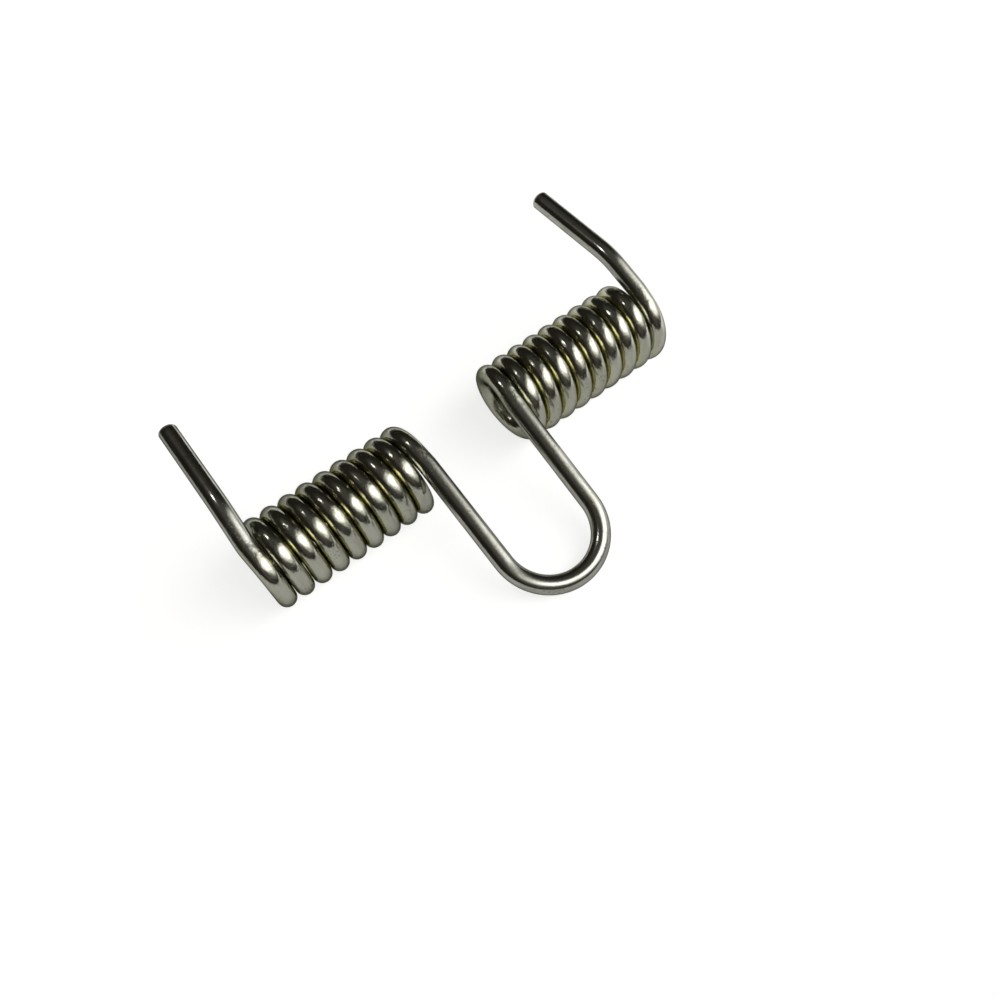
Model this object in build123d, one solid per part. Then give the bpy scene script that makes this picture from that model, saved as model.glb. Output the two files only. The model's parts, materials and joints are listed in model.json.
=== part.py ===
"""Double torsion spring, formed from one length of round wire. Millimetres.

Two close-wound coils of opposite hand share one axis. A U-shaped loop joins their inner ends at
the front, and a straight leg with a shallow bend leaves each outer end at the back. The wire is
followed from a coil out to the loop's middle and to the tip of its leg, in the feeds, bends and
turns that a wire former makes. The left half is made on the right with its own leg and mirrored.

The origin is on the coil axis, midway between the coils. +X runs along that axis, and the spring
lies on its coils and on the end of its loop, which points to -Y.
"""

import os
from math import atan, atan2, cos, degrees, pi, radians, sin

from build123d import *

# Driving dimensions

WIRE_DIAMETER = 2.5
END_ROUNDING = 0.3            # worn edge of each sheared end

BORE_DIAMETER = 6.8           # inside the coils: a 6 mm pin, and room for them to wind up
TURNS = 9                     # whole turns of each coil
TURN_GAP = 0.07               # daylight between neighbouring turns
LEG_RISE = 4.0                # degrees by which a coil stops short of its last whole turn

LEAD_OUT = 1.8                # straight on from the helix, before a leg is set square
SET_INSIDE_RADIUS = 5.0       # of the sideways set that squares a leg to the coil axis

LOOP_WIDTH = 14.2             # between the coils' inner ends, wire centre to wire centre
LOOP_TAPER = 0.7              # degrees that each side of the loop leans to the middle
LOOP_SIDE_LENGTH = 15.0       # straight part of each side

LEG_TOE_IN = 2.0              # degrees that each end leg leans to the middle
LEG_ROOT_LENGTH = 3.8         # straight part of an end leg before its bend
LEG_BEND_ANGLE = 21.0         # towards the coil axis
LEG_BEND_INSIDE_RADIUS = 8.75
RIGHT_TIP_LENGTH = 12.4       # straight part of the right end leg after its bend
LEFT_TIP_LENGTH = 11.7        # and of the left one, which is sheared a little shorter

# Derived sizes

WIRE_RADIUS = WIRE_DIAMETER / 2
PITCH = WIRE_DIAMETER + TURN_GAP
COIL_RADIUS = (BORE_DIAMETER + WIRE_DIAMETER) / 2
HELIX_ANGLE = degrees(atan2(PITCH, 2 * pi * COIL_RADIUS))
SET_RADIUS = SET_INSIDE_RADIUS + WIRE_RADIUS
LEG_BEND_RADIUS = LEG_BEND_INSIDE_RADIUS + WIRE_RADIUS
WOUND_TURNS = TURNS - LEG_RISE / 360

OUTWARD = Vector(1, 0, 0)      # along the coil axis, away from the loop


class WirePath:
    """Edges laid end to end, each one tangent to the one before."""

    def __init__(self, start, heading):
        self.point = start
        self.heading = heading.normalized()
        self.edges = []

    def feed(self, length):
        """Go straight on."""
        end = self.point + self.heading * length
        self.edges.append(Edge.make_line(self.point, end))
        self.point = end

    def bend(self, towards, radius, angle):
        """Turn by an angle in degrees, to the side of the heading that a direction points to."""
        inward = (towards - self.heading * towards.dot(self.heading)).normalized()
        turn = radians(angle)
        centre = self.point + inward * radius
        end = centre + (self.heading * sin(turn) - inward * cos(turn)) * radius
        self.edges.append(Edge.make_tangent_arc(self.point, self.heading, end))
        self.heading = self.heading * cos(turn) + inward * sin(turn)
        self.point = end


def coil_point(angle):
    """Wire centre at an angle in degrees round the coil, from its inner end at the top."""
    turn = radians(angle)
    along = LOOP_WIDTH / 2 + PITCH * angle / 360
    return Vector(along, COIL_RADIUS * sin(turn), COIL_RADIUS * cos(turn))


def coil():
    """The right coil's centre line, wound from the top over the back."""
    seat = Plane(origin=(LOOP_WIDTH / 2, 0, 0), x_dir=(0, 0, 1), z_dir=OUTWARD)
    return (seat * Helix(PITCH, PITCH * WOUND_TURNS, COIL_RADIUS, lefthand=True)).edge()


def loop_side():
    """From the coil's inner end to the middle of the loop's bend."""
    lean = radians(HELIX_ANGLE)
    path = WirePath(coil_point(0), Vector(-sin(lean), -cos(lean), 0))
    path.feed(LEAD_OUT)
    path.bend(OUTWARD, SET_RADIUS, HELIX_ANGLE - LOOP_TAPER)
    path.feed(LOOP_SIDE_LENGTH)
    path.bend(-OUTWARD, path.point.X / cos(radians(LOOP_TAPER)), 90 - LOOP_TAPER)
    return path


def end_leg(tip_length):
    """From the coil's outer end to the sheared tip."""
    wound = 360 * WOUND_TURNS
    turn = radians(wound)
    lean = radians(HELIX_ANGLE)
    winding = Vector(0, cos(turn), -sin(turn))
    path = WirePath(coil_point(wound), OUTWARD * sin(lean) + winding * cos(lean))
    path.feed(LEAD_OUT)
    path.bend(-OUTWARD, SET_RADIUS, HELIX_ANGLE + LEG_TOE_IN)
    path.feed(LEG_ROOT_LENGTH)
    path.bend(winding.cross(OUTWARD), LEG_BEND_RADIUS, LEG_BEND_ANGLE)
    path.feed(tip_length)
    return path


def half_spring(loop, leg):
    """The wire from the loop's middle to a leg's tip, on the right, with its sheared end rounded."""
    centre_line = Wire(loop.edges + [coil()] + leg.edges)
    section = Plane(origin=leg.point, z_dir=leg.heading) * Circle(WIRE_RADIUS)
    wire = sweep(section, path=centre_line)
    sheared_end = wire.faces().filter_by(GeomType.PLANE).sort_by(Axis.Y)[-1]
    return fillet(sheared_end.edges(), END_ROUNDING)


def lying_down(spring, loop_reach):
    """Turn the spring about its coil axis until the loop's end is as low as the coils."""
    return Rot(X=2 * degrees(atan(COIL_RADIUS / loop_reach))) * spring


loop = loop_side()
right_half = half_spring(loop, end_leg(RIGHT_TIP_LENGTH))
left_half = mirror(half_spring(loop, end_leg(LEFT_TIP_LENGTH)), about=Plane.YZ)
spring = lying_down(right_half + left_half, -loop.point.Y)

os.makedirs("parts", exist_ok=True)
export_step(spring, "parts/spring.step")
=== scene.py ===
# %% [markdown]
# # A double torsion spring
#
# The spring is one length of plated steel wire: two close-wound coils of opposite hand on one
# axis, a U-shaped loop between them, and two bent legs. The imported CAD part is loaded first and
# stays the frame: the wire made here has to lie where the CAD wire lies. Sizes are written in
# millimetres, and MM turns them into Blender's metres.

import json
from math import atan2, cos, degrees, pi, radians, sin

import bpy
from mathutils import Euler, Matrix, Vector

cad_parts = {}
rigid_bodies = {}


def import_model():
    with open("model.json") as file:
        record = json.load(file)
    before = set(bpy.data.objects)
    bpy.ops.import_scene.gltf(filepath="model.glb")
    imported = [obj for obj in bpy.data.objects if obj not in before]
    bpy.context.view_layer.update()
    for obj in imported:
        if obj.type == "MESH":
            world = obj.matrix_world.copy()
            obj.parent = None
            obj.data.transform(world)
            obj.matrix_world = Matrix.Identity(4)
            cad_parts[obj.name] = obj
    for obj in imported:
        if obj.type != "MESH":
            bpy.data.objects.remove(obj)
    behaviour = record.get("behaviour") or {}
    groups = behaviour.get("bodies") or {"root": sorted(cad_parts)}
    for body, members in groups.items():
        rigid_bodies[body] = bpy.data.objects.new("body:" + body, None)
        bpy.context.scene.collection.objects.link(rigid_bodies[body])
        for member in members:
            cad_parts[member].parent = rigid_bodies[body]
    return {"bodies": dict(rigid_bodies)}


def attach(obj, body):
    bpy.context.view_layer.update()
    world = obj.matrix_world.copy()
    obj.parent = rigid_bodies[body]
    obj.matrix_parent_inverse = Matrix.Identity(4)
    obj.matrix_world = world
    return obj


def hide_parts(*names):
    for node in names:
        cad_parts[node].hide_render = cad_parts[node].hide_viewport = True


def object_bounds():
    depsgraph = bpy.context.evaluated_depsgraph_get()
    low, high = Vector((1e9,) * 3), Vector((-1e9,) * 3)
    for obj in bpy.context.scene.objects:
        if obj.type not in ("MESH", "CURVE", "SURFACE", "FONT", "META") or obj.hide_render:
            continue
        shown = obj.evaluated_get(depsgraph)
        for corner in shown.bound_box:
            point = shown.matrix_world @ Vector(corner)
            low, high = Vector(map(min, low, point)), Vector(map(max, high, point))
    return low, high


MM = 0.001


def in_mm(place):
    return [round(v / MM, 3) for v in place]


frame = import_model()
cad_low, cad_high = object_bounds()
BODY = list(frame["bodies"])[0]
print("CAD box in mm:", in_mm(cad_low), in_mm(cad_high))

# %% [markdown]
# ## The camera
#
# A long-ish lens looks down on the spring from its front left. The camera is turned a little
# about its own view line, so the coils climb to the right across the view. Writing the direction
# as an azimuth, an elevation and a roll keeps it readable. The matrix is put together from the
# three turns, in the order in which a tripod head makes them.

# %% Camera
LENS = 39.09                     # mm
SENSOR = 36                      # mm wide
CAMERA_PLACE = Vector((-39.39, -78.69, 109.14)) * MM
VIEW_AZIMUTH = 28.95             # degrees from +Y towards +X
VIEW_ELEVATION = 54.86           # degrees, looking down
VIEW_ROLL = -10.57               # degrees about the view line


def aim(azimuth, elevation, roll):
    """The turn of a camera that looks along a direction: level is elevation 0."""
    head = Matrix.Rotation(-radians(azimuth), 4, "Z")
    tilt = Matrix.Rotation(radians(90 - elevation), 4, "X")
    return head @ tilt @ Matrix.Rotation(radians(roll), 4, "Z")


camera = bpy.data.objects.new("camera", bpy.data.cameras.new("camera"))
camera.data.lens = LENS
camera.data.sensor_width = SENSOR
camera.data.clip_start = 1 * MM
camera.matrix_world = Matrix.Translation(CAMERA_PLACE) @ aim(VIEW_AZIMUTH, VIEW_ELEVATION, VIEW_ROLL)
bpy.context.scene.collection.objects.link(camera)
bpy.context.scene.camera = camera
print("camera", round(CAMERA_PLACE.length / MM, 1), "mm from the middle of the spring")

# %% [markdown]
# ## The sizes of the spring
#
# A wire former works from a short list: the wire, the coils, and a row of feeds and bends. The
# same list is written here in millimetres and degrees. What is left over, such as the lean of
# the helix and the radius of the loop's bend, follows from it, and so does the turn about the
# coil axis that lays the spring on its coils and on the end of its loop.

# %% Sizes
WIRE_RADIUS = 1.25
END_ROUNDING = 0.3               # worn edge of each sheared end

COIL_RADIUS = 4.65               # to the middle of the wire
PITCH = 2.57                     # from one turn to the next
TURNS = 9 - 4 / 360              # nine turns, less 4 degrees
LEAD_OUT = 1.8                   # straight on from the helix, at both ends of a coil
SET_RADIUS = 6.25                # of the small sideways bend that follows

LOOP_WIDTH = 14.2                # between the coils' inner ends
LOOP_TAPER = 0.7                 # degrees that each side leans to the middle
LOOP_SIDE = 15.0                 # straight part of each side

LEG_TOE_IN = 2.0                 # degrees that each leg leans to the middle
LEG_ROOT = 3.8                   # straight part of a leg before its bend
LEG_BEND_RADIUS = 10.0
LEG_BEND = 21.0                  # degrees, towards the coil axis
RIGHT_TIP = 12.4                 # straight part of a leg after its bend
LEFT_TIP = 11.7                  # sheared a little shorter

helix_lean = atan2(PITCH, 2 * pi * COIL_RADIUS)
taper = radians(LOOP_TAPER)
half_width_left = (
    LOOP_WIDTH / 2
    - LEAD_OUT * sin(helix_lean)
    - SET_RADIUS * (cos(taper) - cos(helix_lean))
    - LOOP_SIDE * sin(taper)
)
loop_radius = half_width_left / cos(taper)
loop_reach = (
    LEAD_OUT * cos(helix_lean)
    + SET_RADIUS * (sin(helix_lean) - sin(taper))
    + LOOP_SIDE * cos(taper)
    + loop_radius * (1 - sin(taper))
)
lie_down = 2 * atan2(COIL_RADIUS, loop_reach)
print("helix leans", round(degrees(helix_lean), 3), "degrees; loop bend radius", round(loop_radius, 3))
print("loop reaches", round(loop_reach, 3), "mm; spring turned", round(degrees(lie_down), 3), "degrees")

# %% [markdown]
# ## Helpers for node trees
#
# A node tree made in a script is a list of nodes and wires. The first class keeps each step to
# one line: `put` adds a node and either wires or sets its inputs. The second one adds what
# Geometry Nodes need: `takes` adds a named input, `gives` names what comes out, and `use` puts
# one tree inside another. Every shape, finish and light below is built with them.

# %% Node tree helper
NODE_COLUMN, NODE_ROW, NODE_ROWS = 190, 130, 4     # how the nodes lie in the editor


class NodeTree:
    """Adds nodes to a tree, from left to right."""

    def __init__(self, tree):
        self.tree = tree
        self.column = 0

    def fill(self, socket, value):
        """Wires another node's result to a socket, or sets the socket to a plain value."""
        if isinstance(value, bpy.types.NodeSocket):
            self.tree.links.new(value, socket)
        else:
            socket.default_value = value

    def put(self, kind, inputs=(), result=0, **settings):
        """Adds a node with its settings, fills its inputs and returns one of its results."""
        node = self.tree.nodes.new(kind)
        self.column += 1
        node.location = (self.column * NODE_COLUMN, -NODE_ROW * (self.column % NODE_ROWS))
        for name, value in settings.items():
            setattr(node, name, value)
        for name, value in dict(inputs).items():
            self.fill(node.inputs[name], value)
        return node.outputs[result]

    def maths(self, operation, a, b=0.0):
        """One sum; an operation that needs a single number leaves the second out."""
        return self.put("ShaderNodeMath", {0: a, 1: b}, operation=operation)


# %% Geometry Nodes helper
KINDS = {
    "geometry": "NodeSocketGeometry",
    "size": "NodeSocketFloat",
    "count": "NodeSocketInt",
    "material": "NodeSocketMaterial",
}


class ShapeTree(NodeTree):
    """A Geometry Nodes tree with named inputs and one result."""

    def __init__(self, name):
        super().__init__(bpy.data.node_groups.new(name, "GeometryNodeTree"))
        self.tree.is_modifier = True
        self.start = self.tree.nodes.new("NodeGroupInput")
        self.end = self.tree.nodes.new("NodeGroupOutput")

    def takes(self, name, kind="size"):
        self.tree.interface.new_socket(name, in_out="INPUT", socket_type=KINDS[kind])
        return self.start.outputs[name]

    def gives(self, name, result):
        self.tree.interface.new_socket(name, in_out="OUTPUT", socket_type=KINDS["geometry"])
        self.tree.links.new(result, self.end.inputs[name])
        self.end.location = ((self.column + 1) * NODE_COLUMN, 0)
        print(self.tree.name + ":", len(self.tree.nodes), "nodes")

    def use(self, group, inputs):
        return self.put("GeometryNodeGroup", inputs, node_tree=group.tree)

    def vector(self, x=0.0, y=0.0, z=0.0):
        return self.put("ShaderNodeCombineXYZ", {"X": x, "Y": y, "Z": z})

    def move(self, geometry, **by):
        return self.put("GeometryNodeTransform", {"Geometry": geometry} | by)

    def join(self, *parts):
        joined = self.put("GeometryNodeJoinGeometry")
        for part in reversed(parts):
            self.tree.links.new(part, joined.node.inputs[0])
        return joined

    def store(self, geometry, name, value, data_type="FLOAT"):
        """Keeps a value on every point, under a name that can be read further on."""
        inputs = {"Geometry": geometry, "Name": name, "Value": value}
        return self.put("GeometryNodeStoreNamedAttribute", inputs, data_type=data_type, domain="POINT")

    def stored(self, name, data_type="FLOAT"):
        return self.put("GeometryNodeInputNamedAttribute", {"Name": name}, data_type=data_type)


# %% [markdown]
# ## Feed, bend and wind
#
# A forming machine pushes the wire forward and bends it, so each step starts where the last one
# ended. Geometry Nodes have no pen that moves along, but the same thing can be done from the far
# end: every step takes the rest of the wire, which starts at the origin and runs along +Y, sets
# it down at the end of its own stretch, and adds that stretch. What comes out starts at the
# origin again, ready for the step before it. +X is the side away from the loop.

# %% Feed: straight on
STRAIGHT_STEP = 1.0              # mm between two rings of a straight stretch

feed = ShapeTree("feed")
rest = feed.takes("Rest of Wire", "geometry")
length = feed.takes("Length")
end_of_feed = feed.vector(y=length)
straight = feed.put("GeometryNodeCurvePrimitiveLine", {"End": end_of_feed})
spacing = {"Curve": straight, "Length": STRAIGHT_STEP * MM}
straight = feed.put("GeometryNodeResampleCurve", spacing, mode="LENGTH")
feed.gives("Wire", feed.join(straight, feed.move(rest, Translation=end_of_feed)))

# %% Bend: round a mandrel, to the left, or to any side after a roll
bend = ShapeTree("bend")
rest = bend.takes("Rest of Wire", "geometry")
radius = bend.takes("Radius")
angle = bend.takes("Angle")
roll = bend.takes("Roll")
rings = bend.takes("Rings per Turn", "count")

steps = bend.maths("CEIL", bend.maths("DIVIDE", bend.maths("MULTIPLY", angle, rings), 2 * pi))
sizes = {"Resolution": bend.maths("ADD", steps, 1), "Radius": radius, "Sweep Angle": angle}
arc = bend.put("GeometryNodeCurveArc", sizes | {"Start Angle": 0.0}, mode="RADIUS")
mandrel = bend.vector(x=radius)
back = bend.vector(x=bend.maths("MULTIPLY", radius, -1))
rest = bend.move(rest, Rotation=bend.vector(y=bend.maths("MULTIPLY", roll, -1)))
rest = bend.move(bend.move(rest, Translation=mandrel), Rotation=bend.vector(z=angle))
bent = bend.move(bend.join(arc, rest), Translation=back)
bend.gives("Wire", bend.move(bent, Rotation=bend.vector(y=roll)))

# %% Wind: round the coiling mandrel
wind = ShapeTree("wind")
rest = wind.takes("Rest of Wire", "geometry")
radius = wind.takes("Radius")
pitch = wind.takes("Pitch")
turns = wind.takes("Turns")
rings = wind.takes("Rings per Turn", "count")

travel = wind.maths("MULTIPLY", pitch, turns)
sizes = {"Resolution": rings, "Rotations": turns, "Start Radius": radius, "End Radius": radius}
spiral = wind.put("GeometryNodeCurveSpiral", sizes | {"Height": travel})
helix = wind.move(spiral, Rotation=Euler((pi, -pi / 2, 0)))
lean = wind.maths("ARCTAN2", pitch, wind.maths("MULTIPLY", radius, 2 * pi))
upright = wind.vector(z=wind.maths("MULTIPLY", lean, -1))
rest = wind.move(rest, Translation=wind.vector(z=radius), Rotation=upright)
wound = wind.vector(x=wind.maths("MULTIPLY", turns, -2 * pi))
rest = wind.move(rest, Translation=wind.vector(x=travel), Rotation=wound)
below = wind.vector(z=wind.maths("MULTIPLY", radius, -1))
lowered = wind.move(wind.join(helix, rest), Translation=below)
wind.gives("Wire", wind.move(lowered, Rotation=wind.vector(z=lean)))

# %% Tip: the last of the wire, where its sheared edge is worn round
TIP_RINGS = 8

tip = ShapeTree("tip")
edge = tip.takes("Edge Radius")
wire_radius = tip.takes("Wire Radius")
short_line = tip.put("GeometryNodeCurvePrimitiveLine", {"End": tip.vector(y=edge)})
spacing = {"Curve": short_line, "Count": TIP_RINGS}
short_line = tip.put("GeometryNodeResampleCurve", spacing, mode="COUNT")
quarter = tip.maths("MULTIPLY", tip.put("GeometryNodeSplineParameter"), pi / 2)
place = tip.vector(y=tip.maths("MULTIPLY", edge, tip.maths("SINE", quarter)))
rounded = tip.put("GeometryNodeSetPosition", {"Geometry": short_line, "Position": place})
lost = tip.maths("MULTIPLY", edge, tip.maths("SUBTRACT", 1.0, tip.maths("COSINE", quarter)))
tip.gives("Wire", tip.store(rounded, "thinned", tip.maths("DIVIDE", lost, wire_radius)))

# %% [markdown]
# ## The whole wire
#
# The steps are set in a row from the tip of a leg back to the middle of the loop, and the other
# half is the mirror image. The stretches meet end to end but are separate curves until they are
# welded: as a mesh of bare edges, merged by distance and turned back into one curve. A circle is
# then swept along it. Two attributes are kept for the finish. drawn_space says where a point is
# across and along the wire, because draw lines follow the wire and not the room, and from_tip
# says how far it is from the nearer end.

# %% The spring's inputs
SIZES = {
    "Wire Radius": WIRE_RADIUS * MM,
    "Edge Radius": END_ROUNDING * MM,
    "Coil Radius": COIL_RADIUS * MM,
    "Pitch": PITCH * MM,
    "Turns": TURNS,
    "Lead Out": LEAD_OUT * MM,
    "Set Radius": SET_RADIUS * MM,
    "Helix Lean": helix_lean,
    "Loop Radius": loop_radius * MM,
    "Loop Side": LOOP_SIDE * MM,
    "Loop Taper": taper,
    "Loop Reach": loop_reach * MM,
    "Leg Toe In": radians(LEG_TOE_IN),
    "Leg Root": LEG_ROOT * MM,
    "Leg Bend Radius": LEG_BEND_RADIUS * MM,
    "Leg Bend": radians(LEG_BEND),
    "Right Tip": RIGHT_TIP * MM,
    "Left Tip": LEFT_TIP * MM,
    "Lie Down": lie_down,
}
COUNTS = {"Rings per Turn": 96, "Sides of Wire": 40}

whole = ShapeTree("double torsion spring")
size = {name: whole.takes(name) for name in SIZES}
count = {name: whole.takes(name, "count") for name in COUNTS}
finish_in = whole.takes("Finish", "material")
print(len(SIZES) + len(COUNTS), "named sizes")

# %% The row of steps
LEFT, RIGHT, DOWN = 0.0, pi, -pi / 2     # the roll before a bend to that side
RINGS = {"Rings per Turn": count["Rings per Turn"]}


def fed(wire, length):
    return whole.use(feed, {"Rest of Wire": wire, "Length": length})


def bent_by(wire, radius, angle, roll):
    inputs = {"Rest of Wire": wire, "Radius": radius, "Angle": angle, "Roll": roll}
    return whole.use(bend, inputs | RINGS)


def wound_on(wire):
    inputs = {"Radius": size["Coil Radius"], "Pitch": size["Pitch"], "Turns": size["Turns"]}
    return whole.use(wind, {"Rest of Wire": wire} | inputs | RINGS)


def half_spring(tip_length):
    """From the sheared tip of a leg to the middle of the loop, in the order of the wire."""
    square_leg = whole.maths("ADD", size["Helix Lean"], size["Leg Toe In"])
    square_loop = whole.maths("SUBTRACT", size["Helix Lean"], size["Loop Taper"])
    half_loop = whole.maths("SUBTRACT", pi / 2, size["Loop Taper"])
    wire = whole.use(tip, {"Edge Radius": size["Edge Radius"], "Wire Radius": size["Wire Radius"]})
    wire = fed(wire, whole.maths("SUBTRACT", tip_length, size["Edge Radius"]))
    wire = bent_by(wire, size["Leg Bend Radius"], size["Leg Bend"], DOWN)
    wire = fed(wire, size["Leg Root"])
    wire = bent_by(wire, size["Set Radius"], square_leg, LEFT)
    wire = fed(wire, size["Lead Out"])
    wire = wound_on(wire)
    wire = fed(wire, size["Lead Out"])
    wire = bent_by(wire, size["Set Radius"], square_loop, RIGHT)
    wire = fed(wire, size["Loop Side"])
    wire = bent_by(wire, size["Loop Radius"], half_loop, LEFT)
    across = whole.move(wire, Rotation=Euler((0, 0, -pi / 2)))
    seat = whole.vector(y=whole.maths("MULTIPLY", size["Loop Reach"], -1), z=size["Coil Radius"])
    return whole.move(across, Translation=seat)


left_half = whole.move(half_spring(size["Left Tip"]), Scale=Vector((-1, 1, 1)))
both = whole.join(half_spring(size["Right Tip"]), left_half)
lying = whole.move(both, Rotation=whole.vector(x=size["Lie Down"]))
print("two halves of eleven steps each, laid down")

# %% One welded route
WELD = 0.001                     # mm

edges = whole.put("GeometryNodeCurveToMesh", {"Curve": lying})
welded = whole.put("GeometryNodeMergeByDistance", {"Geometry": edges, "Distance": WELD * MM})
route = whole.put("GeometryNodeMeshToCurve", {"Mesh": welded})
along = whole.put("GeometryNodeSplineParameter", result="Length")
route = whole.store(route, "along", along)
total = whole.put("GeometryNodeSplineLength", result="Length")
nearer_end = whole.maths("MINIMUM", along, whole.maths("SUBTRACT", total, along))
route = whole.store(route, "from_tip", nearer_end)
print("one route, with two measures stored along it")

# %% The skin round it
girth = whole.maths("SUBTRACT", 1.0, whole.stored("thinned"))
circle = {"Resolution": count["Sides of Wire"], "Radius": size["Wire Radius"]}
section = whole.put("GeometryNodeCurvePrimitiveCircle", circle, mode="RADIUS")
section = whole.store(section, "around", whole.put("GeometryNodeInputPosition"), "FLOAT_VECTOR")
swept = {"Curve": route, "Profile Curve": section, "Scale": girth, "Fill Caps": True}
skin = whole.put("GeometryNodeCurveToMesh", swept)

across_wire = whole.stored("around", "FLOAT_VECTOR")
along_wire = whole.vector(z=whole.stored("along"))
drawn = whole.put("ShaderNodeVectorMath", {0: across_wire, 1: along_wire}, operation="ADD")
skin = whole.store(skin, "drawn_space", drawn, "FLOAT_VECTOR")
skin = whole.put("GeometryNodeSetShadeSmooth", {"Geometry": skin})
skin = whole.put("GeometryNodeRealizeInstances", {"Geometry": skin})
whole.gives("Spring", whole.put("GeometryNodeSetMaterial", {"Geometry": skin, "Material": finish_in}))

# %% [markdown]
# ## The finish
#
# The wire is hard-drawn steel with a bright plating that leans a little to yellow green. Metal
# needs a Principled BSDF with Metallic at 1, a base colour for what it mirrors head on, and a
# Specular Tint for what it mirrors at a flat angle. A dark tint there gives each turn its dark
# rim. Everything else that the finish shows is laid over that in thin layers, each with a mask of
# its own. Patterns that follow the wire read drawn_space: across the wire in two directions, and
# along it in the third.

# %% Tones of the finish
PLATING = (0.56, 0.56, 0.525)
PLATING_THIN = (0.4, 0.41, 0.36)
FILM = (0.54, 0.54, 0.43)
# yellow for the grooves: partly film, partly a painted reflection of the neighbouring turns
GROOVE_FILM_AND_REFLECTION = (0.58, 0.56, 0.3)
GRIME = (0.2, 0.19, 0.15)
BARE = (0.8, 0.79, 0.76)
EDGE_TINT = (0.16, 0.165, 0.15)


class ShadeTree(NodeTree):
    """A tree of shader nodes, for a material or for the world."""

    def between(self, value, low, high, to_low=0.0, to_high=1.0, curve="LINEAR"):
        """Spreads a value from one range to another, held at both ends."""
        inputs = {"Value": value, "From Min": low, "From Max": high, "To Min": to_low, "To Max": to_high}
        return self.put("ShaderNodeMapRange", inputs, interpolation_type=curve)

    def blend(self, factor, first, second):
        """From a first tone to a second one; either may be another node's colour."""
        inputs = {"Factor": factor}
        for socket, tone in ((6, first), (7, second)):
            inputs[socket] = tone if isinstance(tone, bpy.types.NodeSocket) else (*tone, 1)
        return self.put("ShaderNodeMix", inputs, result=2, data_type="RGBA")


plating = bpy.data.materials.new("bright_plated_steel")
plating.use_nodes = True
coat = ShadeTree(plating.node_tree)
shader = coat.tree.nodes["Principled BSDF"]
shader.inputs["Metallic"].default_value = 1.0
shader.inputs["Specular Tint"].default_value = (*EDGE_TINT, 1)
print("finish:", plating.name, "starts from", PLATING)

# %% Grain that follows the wire
drawn_space = coat.put("ShaderNodeAttribute", result="Vector", attribute_name="drawn_space")


def grain(scale, longer, detail, roughness=0.5):
    """Noise with so many waves to a metre across the wire, and so many times longer along it.

    Its values lie mostly between 0.3 and 0.7, so a mask made from it starts at a level in there.
    """
    space = coat.put("ShaderNodeMapping", {"Vector": drawn_space, "Scale": (1, 1, 1 / longer)})
    inputs = {"Vector": space, "Scale": scale, "Detail": detail, "Roughness": roughness}
    return coat.put("ShaderNodeTexNoise", inputs)


# Soft patches, drawing lines, pits, the places where pits gather, waves and marks across.
cloud = grain(700, longer=3, detail=5, roughness=0.62)
lines = grain(9000, longer=60, detail=2)
specks = grain(5200, longer=1.3, detail=4, roughness=0.6)
patches = grain(300, longer=1, detail=1)
waves = grain(1500, longer=1.8, detail=3, roughness=0.6)
marks = grain(3800, longer=0.45, detail=3, roughness=0.6)
tone = coat.blend(coat.between(cloud, 0.36, 0.62), PLATING_THIN, PLATING)
print("six grains that follow the wire")

# %% [markdown]
# ## Film in the grooves
#
# Where turns lie close, a yellowish film has stayed that handling wears off elsewhere. It is
# slight on the crest of a turn and deepens towards the groove, which is nearer the coil axis. In
# the groove a stronger yellow is laid on. It is partly that film and partly a painted reflection:
# it stands in for the yellow-green light that each turn mirrors into the next. It leaves the free
# faces of the end turns and the bore alone. The axis of the coils is the X axis, so Object
# coordinates give two plain measures to mask with: how far a point is from that axis, and how far
# it is from the middle of the spring.

# %% Film, and the groove's painted reflection
CREST = COIL_RADIUS + WIRE_RADIUS    # mm from the coil axis, on the outside of a turn
FILM_STRENGTH = 0.75
COIL_START = LOOP_WIDTH / 2
COIL_END = COIL_START + TURNS * PITCH
FREE, HELD = 0.6 * PITCH, 0.9 * PITCH     # in from a coil's end: the film starts, and is full
# Where a film starts and where it is full, in mm from the coil axis. The groove's yellow, which is
# film and painted reflection together, does both twice: coming in from the crest, and coming out
# from the bore.
FILM_LIMITS = (CREST + 0.3, CREST - 0.4)
GROOVE_LIMITS = (CREST - 0.35, CREST - 0.85)
BORE_LIMITS = (CREST - 1.9, CREST - 1.3)


def zone(measure, outside, inside, strength=1.0):
    """0 outside a zone and its strength inside it; both limits are in mm."""
    return coat.between(measure, outside * MM, inside * MM, 0.0, strength)


def overlap(*masks):
    """Where all of some masks are."""
    result = masks[0]
    for mask in masks[1:]:
        result = coat.maths("MULTIPLY", result, mask)
    return result


object_place = coat.put("ShaderNodeTexCoord", result="Object")
off_axis = coat.put("ShaderNodeVectorMath", {0: object_place, 1: (0, 1, 1)}, operation="MULTIPLY")
from_axis = coat.put("ShaderNodeVectorMath", {0: off_axis}, result="Value", operation="LENGTH")
sideways = coat.put("ShaderNodeSeparateXYZ", {"Vector": object_place}, result="X")
from_middle = coat.maths("ABSOLUTE", sideways)

tone = coat.blend(zone(from_axis, *FILM_LIMITS, FILM_STRENGTH), tone, FILM)
groove_film_and_reflection = overlap(
    zone(from_axis, *GROOVE_LIMITS),
    zone(from_axis, *BORE_LIMITS),
    zone(from_middle, COIL_START + FREE, COIL_START + HELD),
    zone(from_middle, COIL_END - FREE, COIL_END - HELD),
)
# The groove's yellow is partly film and partly a painted reflection of the neighbouring turns.
tone = coat.blend(groove_film_and_reflection, tone, GROOVE_FILM_AND_REFLECTION)
print("film on the coils from", COIL_START, "to", round(COIL_END, 2), "mm from the middle")

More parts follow.
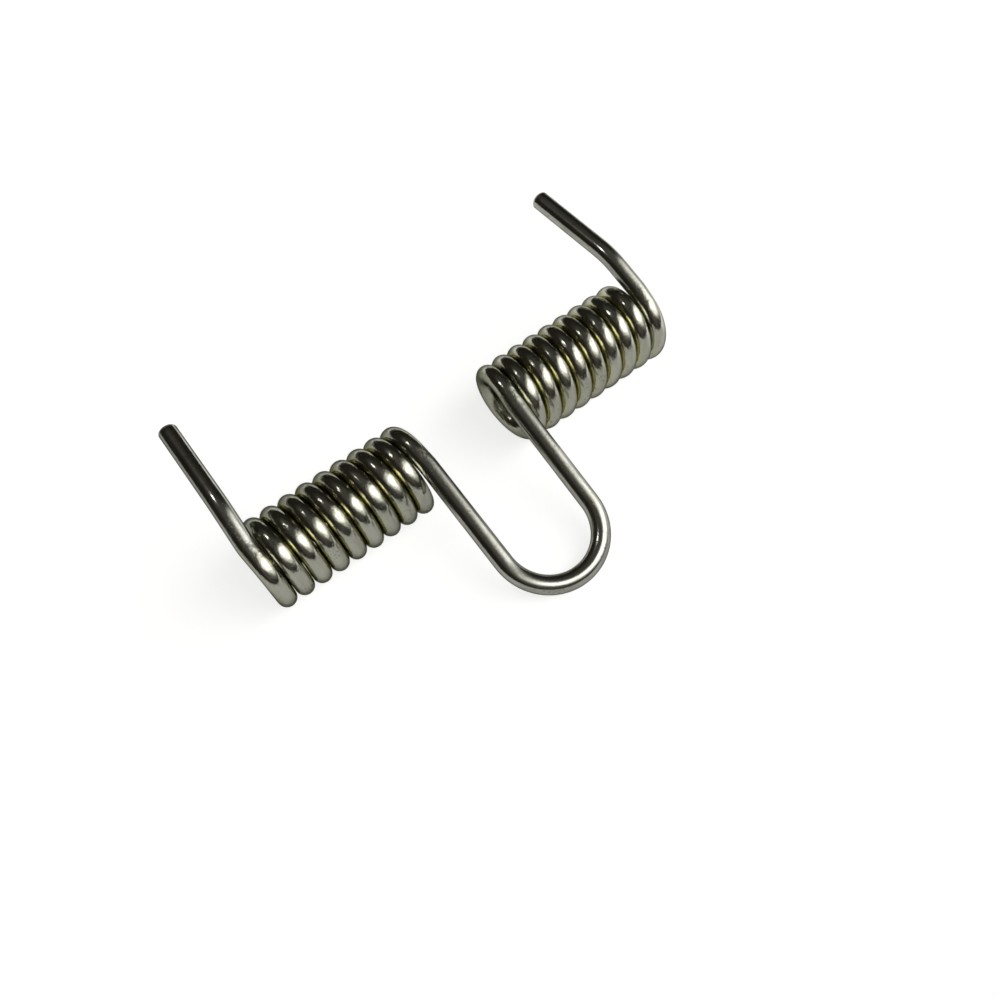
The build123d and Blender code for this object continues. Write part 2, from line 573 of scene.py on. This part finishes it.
# %% [markdown]
# ## Grime and bare ends
#
# Here and there the wire carries small dark spots, where grime sits in pits of the plating. A
# coarse noise gathers them in patches, so that most of the wire stays clean. Wire that is cut
# after it is plated has bare steel at its ends, duller and lighter than the plating. The from_tip
# attribute finds the end faces and their worn edges.

# %% Grime and bare ends
GRIME_STRENGTH = 0.9
BARE_STARTS, BARE_FULL = 0.55, 0.3     # mm from the end of the wire

spots = overlap(coat.between(specks, 0.57, 0.63, 0.0, GRIME_STRENGTH), coat.between(patches, 0.46, 0.56))
tone = coat.blend(spots, tone, GRIME)
from_tip = coat.put("ShaderNodeAttribute", result="Fac", attribute_name="from_tip")
bare = zone(from_tip, BARE_STARTS, BARE_FULL)
tone = coat.blend(bare, tone, BARE)
coat.fill(shader.inputs["Base Color"], tone)
print("bare steel up to", BARE_STARTS, "mm from each end")

# %% [markdown]
# ## Dull and bright
#
# The plating is bright, but not a perfect mirror. Its roughness falls a little where the cloudy
# tone is lightest, and it rises on the pits and on the bare ends.

# %% Roughness
DULLEST, BRIGHTEST = 0.19, 0.14
PIT_ROUGHER = 0.18
BARE_ROUGHER = 0.4

rough = coat.between(cloud, 0.3, 0.7, DULLEST, BRIGHTEST)
rough = coat.maths("ADD", rough, coat.between(specks, 0.62, 0.74, 0.0, PIT_ROUGHER))
rough = coat.maths("ADD", rough, coat.maths("MULTIPLY", bare, BARE_ROUGHER))
coat.fill(shader.inputs["Roughness"], rough)
print("roughness from", BRIGHTEST, "to", round(DULLEST + PIT_ROUGHER + BARE_ROUGHER, 2))

# %% [markdown]
# ## Fine relief
#
# What breaks up the reflections is far too shallow for the mesh: the slight waviness that coiling
# leaves, which the straight stretches hardly have, the lines of the drawing die, the pits, and
# short scuffs across the root of the left leg, where a tool has set it. Each is a Bump node that
# takes the last one's normal, so they add up.

# %% Bumps
WAVE_DEPTH = 0.11                # mm, as are the other depths
LINE_DEPTH = 0.003
PIT_DEPTH = 0.006
SCUFF_DEPTH = 0.02
ON_COILS, OFF_COILS = 0.6, 0.1   # how much of the waves' depth there is
COIL_EDGE = 0.8                  # mm outside the crest, over which that changes
LEFT_LEG = (-10, -20)            # mm along X, from none of the scuffs to all
SCUFFED_FROM, SCUFFED_TO = (15.6, 16.2), (19.0, 17.8)     # mm from the tip, also from none to all


def relief(height, strength, depth, under=None):
    """Presses a pattern into the surface, so many mm deep, over the relief made before."""
    inputs = {"Height": height, "Strength": strength, "Distance": depth * MM}
    if under is not None:
        inputs["Normal"] = under
    return coat.put("ShaderNodeBump", inputs, result="Normal")


waviness = coat.between(from_axis, (CREST + COIL_EDGE) * MM, CREST * MM, OFF_COILS, ON_COILS)
scuffs = overlap(
    coat.between(marks, 0.6, 0.72),
    zone(sideways, *LEFT_LEG),
    zone(from_tip, *SCUFFED_FROM),
    zone(from_tip, *SCUFFED_TO),
)
normal = relief(waves, waviness, WAVE_DEPTH)
normal = relief(lines, 0.3, LINE_DEPTH, normal)
normal = relief(specks, 0.5, PIT_DEPTH, normal)
normal = relief(scuffs, 0.6, SCUFF_DEPTH, normal)
coat.fill(shader.inputs["Normal"], normal)
print("finish:", plating.name, "with", len(coat.tree.nodes), "nodes")

# %% [markdown]
# ## From nodes to a mesh
#
# A modifier's inputs are set by their identifiers, which the tree's interface lists beside their
# names. The evaluated object is then turned into a plain mesh, and the modifier goes, because
# what rides on the frame is a mesh and not a recipe. Its volume and its open edges tell whether
# the sweep is one closed skin that faces outwards.

# %% Make the wire
holder = bpy.data.objects.new("wire_form", bpy.data.meshes.new("wire_form"))
bpy.context.scene.collection.objects.link(holder)
modifier = holder.modifiers.new("double torsion spring", "NODES")
modifier.node_group = whole.tree
for item in whole.tree.interface.items_tree:
    if item.in_out == "INPUT":
        modifier[item.identifier] = (SIZES | COUNTS | {"Finish": plating})[item.name]

evaluated = holder.evaluated_get(bpy.context.evaluated_depsgraph_get())
wire_mesh = bpy.data.meshes.new_from_object(evaluated)
holder.modifiers.remove(modifier)
bpy.data.objects.remove(holder)

wire_mesh.name = "wire"
wire = bpy.data.objects.new("wire", wire_mesh)
bpy.context.scene.collection.objects.link(wire)
print("wire:", len(wire_mesh.vertices), "points")

# %% Measure the wire
import bmesh

shape = bmesh.new()
shape.from_mesh(wire_mesh)
volume = shape.calc_volume(signed=True) / MM**3
open_edges = sum(1 for e in shape.edges if not e.is_manifold)
triangles = sum(len(f.verts) - 2 for f in shape.faces)
shape.free()
print("wire:", triangles, "triangles,", open_edges, "open edges, volume", round(volume, 1), "mm3")

# %% The wire takes the place of the CAD solid
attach(wire, BODY)
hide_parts("spring")
print(wire.name, "rides on", BODY)

# %% [markdown]
# ## The studio
#
# Bright metal has hardly any colour of its own: it shows the studio. One broad soft box stands to
# the right and in front, and its mirror image is the long white streak on every turn. The room
# round it is a brownish black, a little lighter overhead and in front, which the upper side of
# the wire shows. The room and the box are painted on the world by direction: the box is where
# six soft-edged half spaces overlap, each of them a Dot Product with the edge's normal and a Map
# Range. The small lamp at the back left, which gives each turn its bright spot, stands so near
# that every turn sees it in another direction, so it is a real lamp.

# %% Directions
def towards(azimuth, elevation):
    """A unit vector: azimuth from +Y towards +X, elevation above the floor, in degrees."""
    az, el = radians(azimuth), radians(elevation)
    return Vector((sin(az) * cos(el), cos(az) * cos(el), sin(el)))


def edge_normal(first, second, inside):
    """The normal of the plane through the eye and two directions, on the side of a third."""
    normal = towards(*first).cross(towards(*second)).normalized()
    return normal if normal.dot(towards(*inside)) > 0 else -normal


UP = (0, 0, 1)
print("level and to the right is", [round(v, 3) for v in towards(90, 0)])

# %% A world painted by direction
world = bpy.data.worlds.new("studio")
bpy.context.scene.world = world
world.use_nodes = True
room = ShadeTree(world.node_tree)
look = room.put("ShaderNodeTexCoord", result="Generated")


def facing(direction):
    """How far the view direction leans towards another one, from -1 to 1."""
    pair = {0: look, 1: direction}
    return room.put("ShaderNodeVectorMath", pair, result="Value", operation="DOT_PRODUCT")


def fade(value, low, high):
    """0 below low, 1 above high, and a smooth rise between them."""
    return room.between(value, low, high, curve="SMOOTHSTEP")


print("world:", world.name)

# %% The dark room
ROOM = (0.024, 0.021, 0.016)
ROOM_TOP = (0.075, 0.072, 0.062)
TOP_STARTS = 0.6                 # as the dot product with straight up
ROOM_FRONT = (0.11, 0.1, 0.085)
FRONT_PLACE = (196, 42)          # azimuth and elevation
FRONT_STARTS = 0.72              # as the dot product with that direction

walls = room.blend(fade(facing(UP), TOP_STARTS, 1.0), ROOM, ROOM_TOP)
walls = room.blend(fade(facing(towards(*FRONT_PLACE)), FRONT_STARTS, 1.0), walls, ROOM_FRONT)
print("room: three dark tones")

# %% Soft box
BOX_GLOW = (1.0, 0.985, 0.94)
BOX_STRENGTH = 3.3
BOX_MIDDLE = (145, 45)
# Each corner, and how softly the edge from it to the next one fades.
BOX_CORNERS = [
    ((80, 11), 0.38),
    ((142, 22), 0.32),
    ((207, 52), 0.4),
    ((186, 71), 0.24),
    ((118, 63), 0.2),
    ((89, 42), 0.2),
]

inside_box = 1.0
for (here, softness), (there, _) in zip(BOX_CORNERS, BOX_CORNERS[1:] + BOX_CORNERS[:1]):
    side = fade(facing(edge_normal(here, there, BOX_MIDDLE)), -softness, softness)
    inside_box = room.maths("MULTIPLY", inside_box, side)
painted = room.blend(inside_box, walls, tuple(BOX_STRENGTH * c for c in BOX_GLOW))
room.fill(room.tree.nodes["Background"].inputs["Color"], painted)
print("soft box:", len(BOX_CORNERS), "edges, strength", BOX_STRENGTH)

# %% Small lamp
LAMP_PLACE = Vector((-47, 56, 164)) * MM
LAMP_SIZE = 22 * MM
LAMP_ENERGY = 0.014              # watts
LAMP_GLOW = (1.0, 0.98, 0.95)

light = bpy.data.lights.new("small_lamp", "AREA")
light.shape = "DISK"
light.size = LAMP_SIZE
light.energy = LAMP_ENERGY
light.color = LAMP_GLOW
small_lamp = bpy.data.objects.new("small_lamp", light)
at_spring = (-LAMP_PLACE).to_track_quat("-Z", "Y").to_matrix().to_4x4()
small_lamp.matrix_world = Matrix.Translation(LAMP_PLACE) @ at_spring
bpy.context.scene.collection.objects.link(small_lamp)
print("small lamp", round(LAMP_PLACE.length / MM, 1), "mm from the middle of the spring")

# %% [markdown]
# ## The floor
#
# A large sheet of pale, matt paper at the height on which the spring lies. It shows the spring's
# soft shadow. Paper that is lit evenly looks grey, so Light Path gives it a little glow of its
# own. For the camera it is lifted to nearly white. For what the metal mirrors it is lifted less
# in front, which keeps the undersides of the turns grey, and more at the back right, where the
# wire shows light edges. That is a painted pool of light, and only the metal sees it. The light
# that it throws on anything matt stays as it is.

# %% The sheet
FLOOR_HEIGHT = cad_low[2]
FLOOR_REACH = 3.0                # metres from the middle to each edge
PAPER = (0.56, 0.56, 0.552)

floor_mesh = bpy.data.meshes.new("floor")
corners = [(-1, -1), (1, -1), (1, 1), (-1, 1)]
corners = [(x * FLOOR_REACH, y * FLOOR_REACH, FLOOR_HEIGHT) for x, y in corners]
floor_mesh.from_pydata(corners, [], [(0, 1, 2, 3)])
floor = bpy.data.objects.new("floor", floor_mesh)
bpy.context.scene.collection.objects.link(floor)
paper = bpy.data.materials.new("pale_paper")
paper.use_nodes = True
sheet = ShadeTree(paper.node_tree)
matt = sheet.tree.nodes["Principled BSDF"]
matt.inputs["Base Color"].default_value = (*PAPER, 1)
matt.inputs["Roughness"].default_value = 1.0
matt.inputs["Specular IOR Level"].default_value = 0.0
matt.inputs["Emission Color"].default_value = (1, 1, 1, 1)
floor_mesh.materials.append(paper)
print("floor at", round(FLOOR_HEIGHT / MM, 3), "mm")

# %% Its lift for the camera and for the metal
CAMERA_LIFT = 0.77
# The painted pool of light that only the metal mirrors: its glow in front and at the back right.
MIRRORED_LIFT = 0.27
MIRRORED_LIFT_BACK = 1.0
BACK_RIGHT = 60                  # azimuth towards which the mirrored paper gets lighter
BACK_STARTS, BACK_FULL = 18, 52  # mm from the middle of the spring, that way

floor_place = sheet.put("ShaderNodeTexCoord", result="Object")
ahead = {0: floor_place, 1: towards(BACK_RIGHT, 0)}
how_far = sheet.put("ShaderNodeVectorMath", ahead, result="Value", operation="DOT_PRODUCT")
# A painted pool of light: the paper's glow for the metal grows towards the back right.
mirrored = sheet.between(how_far, BACK_STARTS * MM, BACK_FULL * MM, MIRRORED_LIFT, MIRRORED_LIFT_BACK)
rays = sheet.put("ShaderNodeLightPath").node.outputs
lift = 0.0
for ray, amount in (("Camera", CAMERA_LIFT), ("Glossy", mirrored), ("Transmission", mirrored)):
    terms = {0: rays[f"Is {ray} Ray"], 1: amount, 2: lift}
    lift = sheet.put("ShaderNodeMath", terms, operation="MULTIPLY_ADD")
sheet.fill(matt.inputs["Emission Strength"], lift)
bpy.context.scene.view_settings.view_transform = "Standard"
print("paper: lift", CAMERA_LIFT, "for the camera,", MIRRORED_LIFT, "to", MIRRORED_LIFT_BACK, "for the metal")
